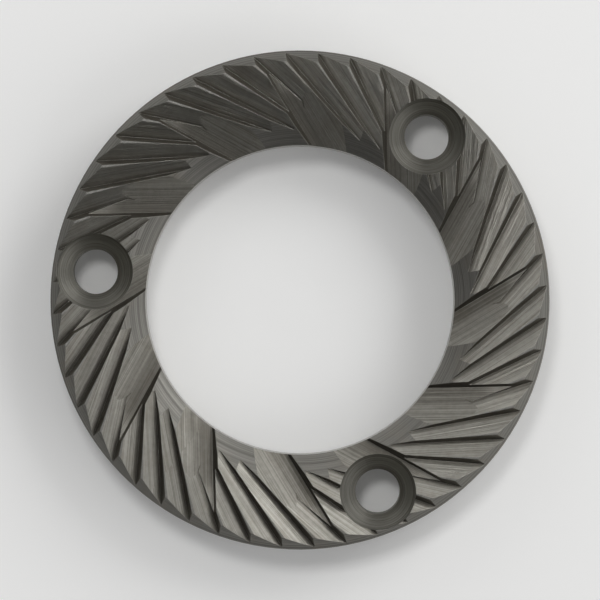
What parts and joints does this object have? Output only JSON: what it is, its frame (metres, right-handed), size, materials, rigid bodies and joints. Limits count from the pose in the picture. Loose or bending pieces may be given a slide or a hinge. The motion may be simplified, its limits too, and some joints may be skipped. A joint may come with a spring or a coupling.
{
  "type": "coffee grinder burr",
  "caption": "Flat steel ring with slanted saw-edge grooves, breaker slots and countersunk screw holes, which cuts coffee beans against a facing ring.",
  "frame": {"origin": "centre of the flat back face, on the ring's axis", "axes": "+Z along the ring's axis, from the back face to the toothed face; +X through the middle of one screw hole"},
  "size_m": [0.05, 0.05, 0.008],
  "materials": {
    "burr_steel": "milled teeth, turned seats and rim, ground back"
  },
  "bodies": {
    "root": {"burr": "burr_steel"}
  },
  "joints": []
}
